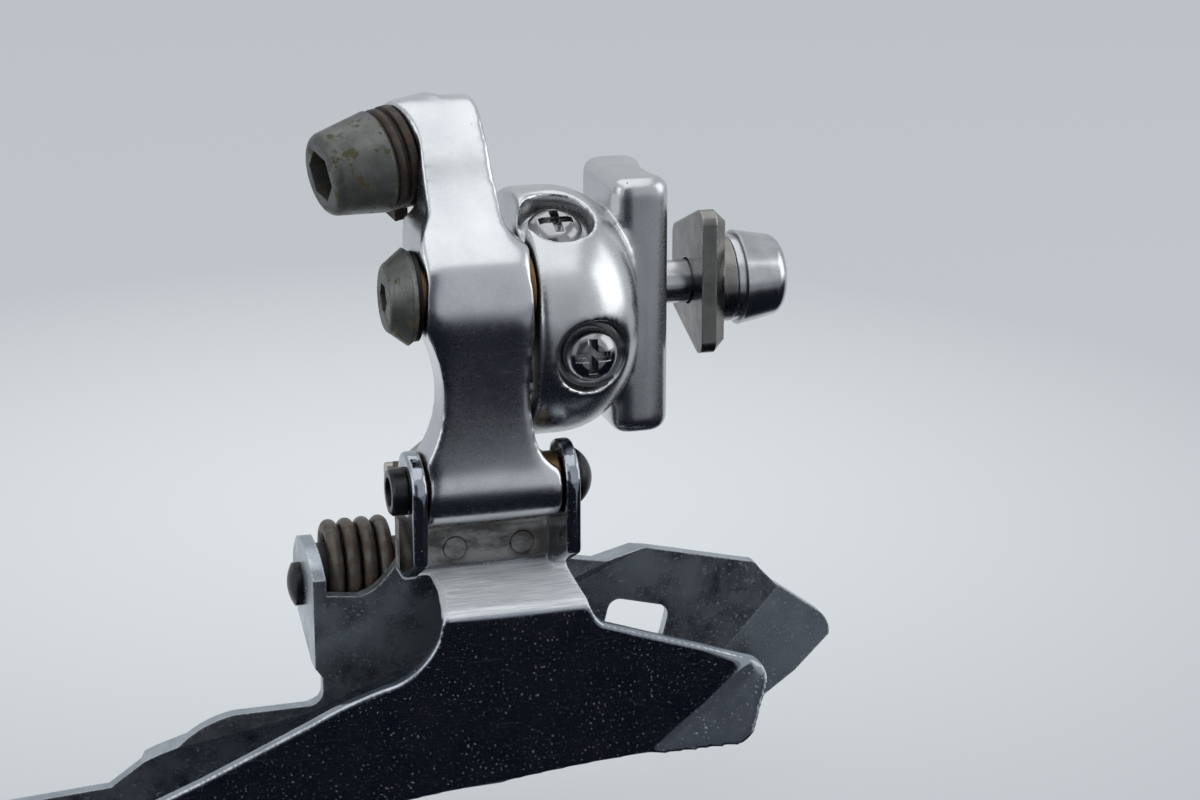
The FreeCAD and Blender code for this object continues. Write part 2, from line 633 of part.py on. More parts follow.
def make_anchor():
    """The cable clamp bolt and its grooved washer with the tongue that keeps it from turning."""
    washer = new_body("cable_washer")
    rim = d.anchor_washer_radius
    thick = d.anchor_washer_thickness
    groove = d.anchor_washer_groove
    bore = d.anchor_shank_radius + 0.15
    sketch = sketch_on(washer, "XZ")
    draw(sketch, [(bore, 0), (rim - 0.3, 0), (rim, 0.3), (rim, thick * 0.42), (rim - groove, thick * 0.5),
                  (rim - groove, thick * 0.6), (rim - 0.1, thick * 0.68), (rim - 0.1, thick - 0.3),
                  (rim - 0.4, thick), (bore, thick)])
    spin = washer.newObject("PartDesign::Revolution", "cable_washer_spin")
    spin.Profile = sketch
    spin.ReferenceAxis = (sketch, ["V_Axis"])
    spin.Angle = 360.0
    tongue = sketch_on(washer, "XY")
    half = d.anchor_tongue_width / 2
    tip = -rim - d.anchor_tongue_length
    draw(tongue, [(tip, -half), (EXTRA - rim, -half), (EXTRA - rim, half), (tip, half)])
    raise_pad(washer, tongue, thick * 0.6)
    doc.recompute()
    washer.Placement = anchor_place(d.fixed_clearance)
    keep(washer, "cable_washer")

    total = d.anchor_shank_length - 0.3 + thick + 2 * d.fixed_clearance + d.anchor_head_length
    under = total - d.anchor_head_length
    corner = d.anchor_head_round
    shank, head, end = d.anchor_shank_radius, d.anchor_head_radius, d.anchor_head_end_radius
    bolt = turned("cable_bolt", anchor_place(-d.anchor_shank_length + 0.3), None, [
        (0, 0), (shank - d.bolt_point, 0), (shank, d.bolt_point), (shank, under), (head - d.bolt_point, under),
        (head, under + 0.5), (end + 0.15, total - corner), (end - corner, total, -corner * 1.3), (0, total)])
    socket(bolt, d.anchor_socket_flats, total, d.anchor_socket_depth)


def make_upper_outer_pivot():
    """The bolt that the arm swings on, its thrust washer and the arm's bush."""
    washer_end = d.arm_left + d.side_gap / 2
    head_start = washer_end + d.thrust_washer_thickness
    bore, rim = d.pivot_bolt_radius + d.thread_clearance, d.thrust_washer_radius
    thick = d.thrust_washer_thickness
    turned("pivot_thrust_washer", (-washer_end, *outer_axis), LEFT, [
        (bore, 0), (rim, 0), (rim, thick), (bore, thick)])

    thread_end = d.dome_left - d.pivot_thread_length
    shoulder = d.pivot_thread_length + d.fixed_clearance
    under = head_start - thread_end
    total = under + d.pivot_head_length
    thread, shank = d.pivot_thread_radius, d.pivot_bolt_radius
    head, end = d.pivot_head_radius, d.pivot_head_end_radius
    bolt = turned("upper_pivot_bolt", (-thread_end, *outer_axis), LEFT, [
        (0, 0), (thread - d.bolt_point, 0), (thread, d.bolt_point), (thread, shoulder), (shank, shoulder),
        (shank, under), (head - d.bolt_point, under), (head, under + 0.6), (end + 0.3, total - 0.5),
        (end - 0.4, total, -0.8), (0, total)])
    socket(bolt, d.pivot_socket_flats, total, d.pivot_socket_depth)

    inside = d.pivot_bolt_radius + d.pivot_clearance
    bush("outer_link_upper_bush", (-d.arm_left, *outer_axis), inside, d.arm_bush_wall, d.arm_left - d.arm_right)


def bush(label, at, inside, wall, length):
    """A plain bearing tube that runs along +X from its place."""
    turned(label, at, RIGHT, [(inside, 0), (inside + wall, 0), (inside + wall, length), (inside, length)])


def make_inner_link():
    """The hidden rear link, with the two cams that the limit screws stop."""
    body = new_body("inner_link")
    eye = d.inner_eye_radius
    (y, top), low = inner_axis, lower_axis[1]
    web = sketch_on(body, "XZ", -y - d.inner_web_thickness / 2)
    flare = top - eye
    draw(web, [
        (-d.inner_link_top_left, top), (-d.inner_link_top_left, flare),
        (-d.inner_link_left, flare - d.inner_left_flare), (-d.inner_link_left, low),
        (-d.inner_link_foot_right, low),
        (-d.inner_link_foot_right, flare - d.inner_right_flare - d.inner_right_neck),
        (-d.inner_link_right, flare - d.inner_right_neck), (-d.inner_link_right, top)])
    raise_pad(body, web, d.inner_web_thickness)
    for axis, left, right in ((inner_axis, d.inner_link_top_left, d.low_cam_right),
                              (lower_axis, d.inner_link_left, d.inner_link_foot_right)):
        disc_sketch = sketch_on(body, "YZ", -left)
        disc(disc_sketch, axis, eye)
        raise_pad(body, disc_sketch, left - right)

    low_cam = sketch_on(body, "YZ", -d.low_cam_left)
    face = -d.low_screw_tip_out + d.cam_gap
    back, corner = face + d.cam_thickness, size(1.0)
    end = d.cam_past_screw - d.low_screw_down
    draw(low_cam, [(face, top), (back, top), (back, end - corner), (back - corner, end, corner), (face, end)])
    raise_pad(body, low_cam, d.low_cam_left - d.low_cam_right)

    tip = horn_tip()
    reach = math.hypot(tip.x, tip.y)
    rise = tip.y / reach
    run = tip.x / reach
    nose = d.cam_thickness.value / 2
    horn = sketch_on(body, "YZ", -d.high_cam_left)
    corners = []
    for along, side in ((0.0, -1), (reach, -1), (reach, 1), (0.0, 1)):
        corners.append((y + run * along + rise * nose * side * -1, top + rise * along + run * nose * side))
    middle = (y + run * (reach + nose), top + rise * (reach + nose))
    draw(horn, [corners[0], corners[1], (*middle, -nose), (*corners[2], -nose), corners[3]])
    raise_pad(body, horn, d.high_cam_left - d.high_cam_right)

    for axis, radius in ((inner_axis, d.inner_pin_radius), (lower_axis, d.lower_pin_radius)):
        bore = sketch_on(body, "YZ", -d.inner_link_left - EXTRA)
        disc(bore, axis, radius + d.pivot_clearance + d.inner_bush_wall + d.fixed_clearance)
        cut_pocket(body, bore, d.inner_link_left, along_normal=True)
    peg = sketch_on(body, "YZ", -d.inner_link_left - d.spring_wire - d.spring_peg_gap)
    disc(peg, (y, low + d.spring_peg_up), d.spring_peg_radius)
    raise_pad(body, peg, d.spring_wire + d.spring_peg_gap + 0.5)
    doc.recompute()
    keep(body, "inner_link")


def horn_tip():
    """Centre of the high cam's rounded tip at rest, from the inner link's upper pivot."""
    lean = math.radians(d.high_screw_tilt.value)
    level = (high_screw_level() - d.high_screw_length - d.cam_thickness / 2 - d.high_stop_gap).value
    centre = Vector(-d.dome_axis_out.value, -d.dome_axis_down.value, 0)
    end = centre + Vector(-math.cos(lean), math.sin(lean), 0) * level
    away = end - Vector(inner_axis[0].value, inner_axis[1].value, 0)
    swing = math.radians(d.swing.value)
    return Vector(away.x * math.cos(swing) - away.y * math.sin(swing),
                  away.x * math.sin(swing) + away.y * math.cos(swing), 0)


def make_inner_pivots():
    """The inner link's two pins and their bushes."""
    inside = d.inner_pin_radius + d.pivot_clearance
    end = d.cavity_right - d.inner_pin_thread_length
    under = d.inner_link_top_left + d.side_gap - end
    total = under + d.inner_pin_head_length
    pin = turned("inner_upper_pin", (-end, *inner_axis), LEFT, [
        (0, 0), (d.inner_pin_thread_radius - 0.3, 0), (d.inner_pin_thread_radius, 0.3),
        (d.inner_pin_thread_radius, d.inner_pin_thread_length + 0.02),
        (d.inner_pin_radius, d.inner_pin_thread_length + 0.02), (d.inner_pin_radius, under),
        (d.inner_pin_head_radius, under), (d.inner_pin_head_radius, total - 0.3),
        (d.inner_pin_head_radius - 0.3, total), (0, total)])
    socket(pin, d.pivot_socket_flats, total, d.inner_pin_head_length)
    left = d.inner_link_top_left
    bush("inner_link_upper_bush", (-left, *inner_axis), inside, d.inner_bush_wall, left - d.low_cam_right)

    inside = d.lower_pin_radius + d.pivot_clearance
    left = d.inner_link_left
    length = left - d.inner_link_foot_right
    bush("inner_link_lower_bush", (-left, *lower_axis), inside, d.inner_bush_wall, length)
    left = d.inner_web_left
    right = d.inner_ear_right
    radius = d.lower_pin_radius
    head = d.lower_pin_head_radius
    span = left - right
    start = d.lower_rivet_length - d.fixed_clearance
    end = d.lower_rivet_length + span + d.fixed_clearance
    rim = d.lower_pin_head_length * 0.5
    turned("inner_lower_pin", (-right + d.lower_rivet_length, *lower_axis), LEFT, [
        (0, 0), (head - 0.3, 0), (head, 0.3), (head, start), (radius, start), (radius, end), (head, end),
        (head, end + rim), (0, end + rim * 2, -dome(head, rim))])


def make_foot_pin():
    """The riveted pin through the cage's front ears and the arm's lower barrel, and the arm's bushes."""
    left = d.ear_left
    right = d.ear_right
    radius = d.foot_pin_radius
    flare = d.foot_pin_left_radius
    head = d.foot_pin_head_radius
    start = d.foot_pin_head_length
    span = left - right
    top = start + span + d.foot_pin_left_length
    turned("foot_pin", (-right + start, *foot_axis), LEFT, [
        (0, 0), (head, start * 0.75, -dome(head, start * 0.75)), (head, start - d.fixed_clearance),
        (radius, start - d.fixed_clearance), (radius, start + span + d.fixed_clearance),
        (flare, start + span + d.fixed_clearance), (flare, top - 0.3), (flare - 0.3, top),
        (flare - 1.0, top), (flare - 1.2, top - 1.4), (0, top - 1.4)])
    for side, start in (("left", -d.arm_foot_left), ("right", -d.arm_foot_right - d.foot_bush_length)):
        bush("outer_link_lower_bush_" + side, (start, *foot_axis), radius + d.pivot_clearance, d.foot_bush_wall,
             d.foot_bush_length)


def make_limit_screws():
    """The two cross-head limit screws."""
    head = d.limit_head_radius
    shank = d.limit_shank_radius
    dome = d.limit_head_height
    low_at = (-d.low_screw_left, -d.low_screw_out, -d.low_screw_down)
    high_at = high_screw_place(high_screw_level())
    for label, at, length in (("low_limit_screw", low_at, d.low_screw_out - d.low_screw_tip_out),
                              ("high_limit_screw", high_at, d.high_screw_length)):
        screw = turned(label, at, OUTWARD, [
            (0, -length), (shank - 0.5, -length), (shank, 0.5 - length), (shank, -dome), (head, -dome),
            (head, -dome * 0.5), (head * 0.5, 0, -d.limit_head_dome), (0, 0)])
        cross_slot(screw, 0, d.limit_cross_depth)


def make_outer_cage():
    """The outer cage plate: one sheet with the front ears, web, shelf, plate and its flared nose."""
    thick = d.sheet
    web = -d.cage_web_out
    face = -d.cage_out
    crest = d.shelf_down + d.shelf_drop
    inside, sweep = d.shelf_bend, d.shelf_sweep
    strip = [
        (web, -d.web_top), (web, sweep - d.shelf_down), (web - sweep, -d.shelf_down, sweep),
        (face + inside, -crest), (face, -crest - inside, -inside), (face, -d.cage_split - EXTRA),
        (face + thick, -d.cage_split - EXTRA), (face + thick, -crest - thick),
        (web - sweep, -d.shelf_down - thick),
        (web + thick, sweep - d.shelf_down, -(sweep + thick)), (web + thick, -d.web_top)]
    section = prism("outer_cage_strip", SIDE, strip, -d.ear_left, d.ear_left)
    split = -d.cage_split
    neck_left, neck_right = -d.neck_left - d.neck_left_flare, d.neck_right_flare - d.neck_right
    neck = prism("outer_cage_neck_outline", FRONT, [
        (-d.ear_left, -d.web_top), (-d.ear_right, -d.web_top), (-d.ear_right, -d.shelf_down),
        (0.6 - d.neck_right, -crest - 0.6), (neck_right, split, -6.0), (neck_left, split),
        (-d.neck_left, -crest), (-d.neck_left, -d.shelf_down), (-d.ear_left, -d.shelf_down)],
        -d.cage_out - EXTRA, d.cage_out)
    upper = boolean("Common", "outer_cage_upper", section, neck)

    bend = d.outer_nose_bend
    reach = size(80)
    flat = size(140)
    corner = thick * (1 - cosine(bend)) / sine(bend)
    nose = bent_sheet("outer_cage_sheet", [
        (-flat, face), (0, face), (reach * cosine(bend), face - reach * sine(bend)),
        (corner + reach * cosine(bend), face + thick - reach * sine(bend)), (corner, face + thick),
        (-flat, face + thick)], (9.4, 0, -39.6), d.outer_nose_slope, flat)
    nose_edge = [(7.6, -40.6), (9.3, -42.8, 2.0), (7.2, -47.8), (4.2, -49.8, 3.2)]
    belly_edge = [(-2.6, -51.0), (-19.8, -52.3, -d.cage_belly), (-32.3, -53.4, -d.cage_belly),
                  (-62.0, -59.6, -d.cage_belly)]
    top_edge = [(-64.0, -51.6), (-55.9, -48.4), (-43.0, -42.8), (-33.6, -39.4, 40.0)]
    split_edge = [(neck_left, split, -9.0), (neck_right, split)]
    outline = prism("outer_cage_outline", FRONT,
                    split_edge + nose_edge + belly_edge + tail_edge() + top_edge,
                    -d.cage_out * 2, d.cage_out * 2, [tail_hole()])
    lower = boolean("Common", "outer_cage_lower", nose, outline)
    plate = boolean("Fuse", "outer_cage_joined", upper, lower)
    for side, start in (("left", -d.ear_left), ("right", -d.ear_right - thick)):
        plate = boolean("Fuse", "outer_cage_with_" + side + "_ear", plate, front_ear(side, start))
    holes = [pin_hole("outer_cage_pin_hole", SIDE, foot_axis, d.foot_pin_radius + d.fixed_clearance,
                      -d.ear_left - EXTRA, d.ear_left)]
    for number, spot in enumerate(rivet_spots()):
        holes.append(pin_hole("outer_cage_rivet_hole_%d" % number, FRONT, spot,
                              d.rivet_radius + d.fixed_clearance, -d.cage_web_out - EXTRA, EXTRA * 4))
    for number, hole in enumerate(holes):
        plate = boolean("Cut", "outer_cage_cut_%d" % number, plate, hole)
    keep(plate, "outer_cage_plate")


def tail_edge():
    """The round end that both plates have about the tail screw, from below to above."""
    return [(-d.tail_back - 1.0, -d.tail_down - 4.2), (-d.tail_back - d.tail_end, -d.tail_down, d.tail_end),
            (-d.tail_back, -d.tail_down + 4.4, d.tail_end)]


def tail_hole():
    return (-d.tail_back, -d.tail_down), d.tail_screw_radius + d.bolt_hole_gap / 2


def front_ear(side, start):
    """One front ear: round about the pin, straight down its front edge, then back to the web."""
    out, up = foot_axis
    radius = d.ear_radius
    back = -d.cage_web_out + d.sheet
    lean = d.ear_lean
    return prism("outer_cage_ear_" + side, SIDE, [
        (out - radius, up), (out, up + radius, radius),
        (out + radius * sine(lean), up + radius * cosine(lean), radius),
        (back, -d.web_top + 0.6), (back, -d.ear_foot_down), (-d.cage_web_out - 1.6, -d.ear_foot_down),
        (out - radius, up - d.ear_straight)], start, d.sheet)


def rivet_spots():
    """Where the two webs are riveted together, as (x, z)."""
    return [(-d.rivet_left, -d.rivet_down), (-d.rivet_right, -d.rivet_down)]


def make_inner_cage():
    """The inner cage plate: rear bracket, sloping shoulder, plate with its window, flared nose and tail."""
    thick = d.inner_sheet
    web = -d.cage_web_out + d.sheet
    face = -d.inner_plate_out
    bend = d.shoulder_bend
    run = (face - web) * cosine(bend) / sine(bend)
    corner = thick * (1 - cosine(bend)) / sine(bend)
    long = size(140)
    left = -d.inner_web_left
    split = left - 0.6
    step = [(-long, web), (0, web), (run, face), (long, face), (long, face + thick),
            (run - corner, face + thick), (-corner, web + thick), (-long, web + thick)]
    fold = (split, 0, -d.shoulder_down)
    shoulder = bent_sheet("inner_cage_sheet", step, fold, d.shoulder_slope, long)
    low = lower_axis[1]
    joint = [(12.6, -35.0), (-8.0, -57.9)]
    window = (-d.window_left, -d.window_down)
    split_top, split_bottom = (split, -44.8), (split, -61.4)
    spring_edge = [(left, -31.6), (-35.8, -32.2), (-32.8, -30.4, -5.0), (-30.2, -26.8, -14.0),
                   (-30.0, -d.inner_web_top)]
    right = -d.inner_web_right
    top_edge = [(right, -d.inner_web_top), (right, -29.8), (-6.8, -30.9), (0.3, -32.1)]
    belly_edge = [(-18.0, -60.0), (*split_bottom, -d.cage_belly * 2)]
    notch_edge = [(-40.2, -43.0, -1.8), (-40.2, -41.6), (left, -40.4)]
    outline = prism("inner_cage_outline", FRONT,
                    spring_edge + top_edge + joint + belly_edge + [split_top] + notch_edge,
                    -d.cage_out, d.cage_out * 2)
    main = boolean("Common", "inner_cage_main", shoulder, outline)

    tail_sheet = bent_sheet("inner_cage_tail_sheet", step, fold, d.tail_shoulder_slope, long)
    hump_edge = [(-64.0, -54.8), (-60.2, -52.2), (-57.0, -48.2, 9.0), (-50.3, -44.9, 12.0)]
    tail_outline = prism("inner_cage_tail_outline", FRONT,
                         [split_top, split_bottom, (-62.0, -62.8)] + tail_edge() + hump_edge,
                         -d.cage_out, d.cage_out * 2, [tail_hole()])
    tail_plate = boolean("Common", "inner_cage_tail", tail_sheet, tail_outline)
    main = boolean("Fuse", "inner_cage_main_and_tail", main, tail_plate)

    bend = d.inner_nose_bend
    corner = thick * (1 - cosine(bend)) / sine(bend)
    reach = size(80)
    nose = bent_sheet("inner_cage_nose_sheet", [
        (-long, face), (0, face), (reach * cosine(bend), face - reach * sine(bend)),
        (corner + reach * cosine(bend), face + thick - reach * sine(bend)), (corner, face + thick),
        (-long, face + thick)], (16.4, 0, -38.6), d.inner_nose_slope, long)
    nose_edge = [(13.9, -35.8, 1.4), (16.1, -38.2), (20.9, -41.4), (21.8, -44.0, 2.4), (17.6, -48.3),
                 (13.4, -51.6), (8.0, -54.6, 16.0)]
    nose_outline = prism("inner_cage_nose_outline", FRONT, [joint[1], joint[0]] + nose_edge,
                         -d.cage_out * 2, d.cage_out * 3)
    front = boolean("Common", "inner_cage_nose", nose, nose_outline)
    plate = boolean("Fuse", "inner_cage_joined", main, front)

    y = lower_axis[0]
    ears = []
    for side, start, top, bottom in (
            ("left", left, d.rear_ear_up, d.rear_ear_down),
            ("right", -d.inner_ear_right - thick, d.inner_ear_height, d.inner_ear_height)):
        ears.append(prism("inner_cage_ear_" + side, SIDE, [
            (web, low - bottom), (web, low + top - 2.4), (y - 1.5, low + top, 12.0),
            (y + 2.4, low + top - 1.4, 4.0), (y + 4.2, low, 5.0), (y + 1.6, low - 4.0, 5.0),
            (web + thick + 1.0, low - bottom)], start, thick))
    for number, ear in enumerate(ears):
        plate = boolean("Fuse", "inner_cage_with_ear_%d" % number, plate, ear)
    slot = doc.addObject("Part::Box", "inner_cage_window")
    bind(slot, "Length", d.window_length)
    bind(slot, "Width", d.cage_out)
    bind(slot, "Height", d.window_height)
    put(slot, (window[0], -d.cage_out / 2, window[1]), Rotation(Vector(0, 1, 0), d.window_lean.value))
    rounded = doc.addObject("Part::Fillet", "inner_cage_window_rounded")
    rounded.Base = slot
    doc.recompute()
    rounded.Edges = [(number, d.window_round.value, d.window_round.value)
                     for number, edge in enumerate(slot.Shape.Edges, start=1)
                     if abs(edge.tangentAt(edge.FirstParameter).y) > 0.99]
    pin_bore = d.lower_pin_radius + d.fixed_clearance
    holes = [rounded, pin_hole("inner_cage_pin_hole", SIDE, lower_axis, pin_bore, left - EXTRA, -left)]
    for number, spot in enumerate(rivet_spots()):
        holes.append(pin_hole("inner_cage_rivet_hole_%d" % number, FRONT, spot,
                              d.rivet_radius + d.fixed_clearance, -d.cage_web_out, EXTRA * 4))
    for number, hole in enumerate(holes):
        plate = boolean("Cut", "inner_cage_cut_%d" % number, plate, hole)
    keep(plate, "inner_cage_plate")


def make_cage_fasteners():
    """Web rivets with flush fronts, and the screw, spacer and nut that join the two tails."""
    head = d.rivet_head_radius
    start = d.fixed_clearance
    back = d.sheet + d.inner_sheet + d.fixed_clearance
    for label, spot in zip(("cage_rivet_left", "cage_rivet_right"), rivet_spots()):
        turned(label, (spot[0], -d.cage_web_out, spot[1]), INWARD, [
            (0, start), (d.rivet_radius, start), (d.rivet_radius, back), (head, back),
            (0, back + d.rivet_head_height, -dome(head, d.rivet_head_height))])
    x, z = -d.tail_back, -d.tail_down
    inner_face = -d.inner_plate_out
    outer_face = -d.cage_out + d.sheet
    spacer = inner_face - outer_face
    bore = d.tail_screw_radius + d.bolt_hole_gap / 2
    turned("cage_tail_spacer", (x, outer_face, z), INWARD, [
        (bore, 0), (d.tail_spacer_radius, 0), (d.tail_spacer_radius, spacer), (bore, spacer)])
    head = d.tail_head_height
    span = spacer + d.sheet + d.inner_sheet
    screw = turned("cage_tail_screw", (x, -d.cage_out, z), OUTWARD, [
        (0, -span - d.tail_nut_height), (d.tail_screw_radius - 0.4, -span - d.tail_nut_height),
        (d.tail_screw_radius, 0.4 - span - d.tail_nut_height), (d.tail_screw_radius, d.fixed_clearance),
        (d.tail_head_radius, d.fixed_clearance), (d.tail_head_radius, head * 0.5),
        (d.tail_head_radius * 0.6, head, -d.tail_head_dome), (0, head)])
    cross_slot(screw, head, d.limit_cross_depth)
    nut = new_body("cage_tail_nut")
    sketch = sketch_on(nut, "XY")
    draw(sketch, polygon(d.tail_nut_flats))
    disc(sketch, (0, 0), d.tail_screw_radius + d.thread_clearance)
    raise_pad(nut, sketch, d.tail_nut_height)
    doc.recompute()
    put(nut, (x, inner_face + d.inner_sheet, z), INWARD)
    keep(nut, "cage_tail_nut")


def make_spring():
    """The return spring about the lower inner pin, and the bush that centres it."""
    left = d.inner_web_left - d.inner_sheet
    right = d.inner_link_left
    turned("spring_bush", (-left + d.side_gap, *lower_axis), RIGHT, [
        (d.lower_pin_radius + d.pivot_clearance, 0), (d.spring_bush_radius, 0),
        (d.spring_bush_radius, left - right - 2 * d.side_gap),
        (d.lower_pin_radius + d.pivot_clearance, left - right - 2 * d.side_gap)])

    radius = d.spring_radius.value
    pitch = d.spring_pitch.value
    turns = d.spring_turns.value + d.spring_lean.value / 360
    helix = Part.makeHelix(pitch, pitch * turns, radius, 0, True)
    first = helix.Edges[0]
    last = helix.Edges[-1]
    start, start_way = first.valueAt(first.FirstParameter), first.tangentAt(first.FirstParameter)
    end, end_way = last.valueAt(last.LastParameter), last.tangentAt(last.LastParameter)
    leg_in = Part.makeLine(start - start_way * d.spring_leg.value, start)
    leg_out = Part.makeLine(end, end + end_way * d.spring_tail.value)
    path = Part.Wire([leg_in] + helix.Edges + [leg_out])
    leg_end = start - start_way * d.spring_leg.value
    ring = Part.Wire([Part.makeCircle(d.spring_wire.value / 2, leg_end, start_way)])
    spring = doc.addObject("Part::Feature", "return_spring")
    spring.Shape = path.makePipeShell([ring], True, True)
    middle = (left + right) / 2 + d.spring_pitch * d.spring_turns / 2
    facing = Rotation(Vector(0, -1, 0), Vector(0, 0, -1), Vector(1, 0, 0), "XYZ")
    put(spring, (-middle, *lower_axis), facing)
    keep(spring, "return_spring")


make_body()
make_mount_hardware()
make_outer_link()
make_anchor()
make_upper_outer_pivot()
make_inner_link()
make_inner_pivots()
make_foot_pin()
make_limit_screws()
make_outer_cage()
make_inner_cage()
make_cage_fasteners()
make_spring()
doc.recompute()

for thing in doc.Objects:
    if "Invalid" in thing.State or "Error" in thing.State:
        raise RuntimeError("%s failed to build" % thing.Name)
for piece in subparts:
    if piece.Shape.isNull() or not piece.Shape.isValid() or not piece.Shape.Solids:
        raise RuntimeError("%s has no valid solid" % piece.Label)

os.makedirs("parts", exist_ok=True)
for piece in subparts:
    piece.Shape.exportStep("parts/%s.step" % piece.Label)
    print("%-30s %d solid(s) %9.2f mm3" % (piece.Label, len(piece.Shape.Solids), piece.Shape.Volume))
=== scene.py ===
import json
import math

import bpy
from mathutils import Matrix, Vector


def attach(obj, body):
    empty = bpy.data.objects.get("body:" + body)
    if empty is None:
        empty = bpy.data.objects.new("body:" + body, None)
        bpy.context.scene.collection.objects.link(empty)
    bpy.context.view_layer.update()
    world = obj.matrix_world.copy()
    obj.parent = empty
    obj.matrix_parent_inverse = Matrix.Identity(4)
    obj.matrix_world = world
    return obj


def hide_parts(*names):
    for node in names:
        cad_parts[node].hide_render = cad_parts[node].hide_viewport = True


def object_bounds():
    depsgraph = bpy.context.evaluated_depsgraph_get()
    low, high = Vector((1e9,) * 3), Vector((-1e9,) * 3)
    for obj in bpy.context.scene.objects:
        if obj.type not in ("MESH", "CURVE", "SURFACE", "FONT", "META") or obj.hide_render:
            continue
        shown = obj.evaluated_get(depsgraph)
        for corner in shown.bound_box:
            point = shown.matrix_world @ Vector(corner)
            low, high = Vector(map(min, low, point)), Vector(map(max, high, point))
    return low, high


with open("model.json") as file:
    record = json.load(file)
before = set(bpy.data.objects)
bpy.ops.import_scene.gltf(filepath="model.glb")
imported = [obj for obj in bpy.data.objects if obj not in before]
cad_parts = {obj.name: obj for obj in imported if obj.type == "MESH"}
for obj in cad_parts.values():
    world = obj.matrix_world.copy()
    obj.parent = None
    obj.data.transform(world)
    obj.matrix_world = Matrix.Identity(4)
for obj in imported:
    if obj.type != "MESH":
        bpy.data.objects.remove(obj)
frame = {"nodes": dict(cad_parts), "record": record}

cad_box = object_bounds()
nodes = frame["nodes"]

MM = 0.001


# ---------------------------------------------------------------- camera

CAMERA_PLACE = (-92.1 * MM, -301.8 * MM, 82.4 * MM)
CAMERA_AZIMUTH = -16
CAMERA_ELEVATION = 17
LENS = 85
SENSOR_WIDTH = 36


def make_camera():
    data = bpy.data.cameras.new("camera")
    data.lens = LENS
    data.sensor_width = SENSOR_WIDTH
    data.clip_start = 0.01
    data.clip_end = 20
    camera = bpy.data.objects.new("camera", data)
    camera.location = CAMERA_PLACE
    camera.rotation_euler = (math.radians(90 - CAMERA_ELEVATION), 0, math.radians(CAMERA_AZIMUTH))
    bpy.context.scene.collection.objects.link(camera)
    bpy.context.scene.camera = camera


# ---------------------------------------------------------------- nodes of a material

def linear(colour):
    """An sRGB hex colour as linear red, green, blue and alpha."""
    parts = [int(colour[i:i + 2], 16) / 255 for i in (1, 3, 5)]
    return tuple(p / 12.92 if p <= 0.04045 else ((p + 0.055) / 1.055) ** 2.4 for p in parts) + (1,)


def add(tree, kind, sockets=None, **settings):
    """Adds a node. settings are its properties; sockets are inputs, each a value or another node's output."""
    node = tree.nodes.new(kind)
    for name, value in settings.items():
        setattr(node, name, value)
    for name, value in (sockets or {}).items():
        if isinstance(value, bpy.types.NodeSocket):
            tree.links.new(value, node.inputs[name])
        else:
            node.inputs[name].default_value = value
    return node


def start(name):
    """An empty material with its node tree and coordinates in metres, in the row frame."""
    material = bpy.data.materials.new(name)
    material.use_nodes = True
    tree = material.node_tree
    tree.nodes.clear()
    place = add(tree, "ShaderNodeTexCoord").outputs["Object"]
    return material, tree, place


def noise(tree, place, size, detail=3.0, roughness=0.5, stretch=(1, 1, 1)):
    """Noise whose grains are about size mm across, times stretch along each axis."""
    scale = [1 / (size * MM * s) for s in stretch]
    spread = add(tree, "ShaderNodeMapping", {"Vector": place, "Scale": scale})
    field = add(tree, "ShaderNodeTexNoise",
                {"Vector": spread.outputs["Vector"], "Scale": 1.0, "Detail": detail, "Roughness": roughness})
    return field.outputs["Fac"]


def remap(tree, value, low, high, out_low=0.0, out_high=1.0):
    """Turns low..high into out_low..out_high, with a soft step and nothing beyond."""
    node = add(tree, "ShaderNodeMapRange", {"Value": value, "From Min": low, "From Max": high,
                                            "To Min": out_low, "To Max": out_high})
    return node.outputs["Result"]


def mix(tree, share, first, second):
    """Colour first where share is 0 and second where it is 1."""
    node = add(tree, "ShaderNodeMix", data_type="RGBA")
    for socket, value in ((0, share), (6, first), (7, second)):
        if isinstance(value, bpy.types.NodeSocket):
            tree.links.new(value, node.inputs[socket])
        else:
            node.inputs[socket].default_value = value
    return node.outputs[2]


def shaded_corners(tree, reach):
    """1 deep in corners that are narrower than reach mm, 0 in the open: the mask for painted shade in
    corners.
    """
    node = add(tree, "ShaderNodeAmbientOcclusion", {"Distance": reach * MM}, samples=6, only_local=False)
    return remap(tree, node.outputs["AO"], 0.75, 0.25)


def glint_edges(tree, reach):
    """1 along the edges and bends, over reach mm, and 0 on the flats: the mask for painted highlights along
    edges.
    """
    rounded = add(tree, "ShaderNodeBevel", {"Radius": reach * MM}, samples=4)
    flat = add(tree, "ShaderNodeNewGeometry")
    likeness = add(tree, "ShaderNodeVectorMath", {0: rounded.outputs["Normal"], 1: flat.outputs["Normal"]},
                   operation="DOT_PRODUCT")
    return remap(tree, likeness.outputs["Value"], 0.998, 0.95)


def times(tree, first, second):
    return add(tree, "ShaderNodeMath", {0: first, 1: second}, operation="MULTIPLY").outputs[0]


def plus(tree, first, second):
    return add(tree, "ShaderNodeMath", {0: first, 1: second}, operation="ADD").outputs[0]


def close(material, tree, colour, metallic, roughness, normal=None, **constants):
    """Ends a material in a Principled shader. constants go on its sockets directly."""
    sockets = {"Base Color": colour, "Metallic": metallic, "Roughness": roughness}
    sockets.update(constants)
    shader = add(tree, "ShaderNodeBsdfPrincipled", sockets)
    if normal is not None:
        tree.links.new(normal, shader.inputs["Normal"])
    out = add(tree, "ShaderNodeOutputMaterial")
    tree.links.new(shader.outputs["BSDF"], out.inputs["Surface"])
    return material


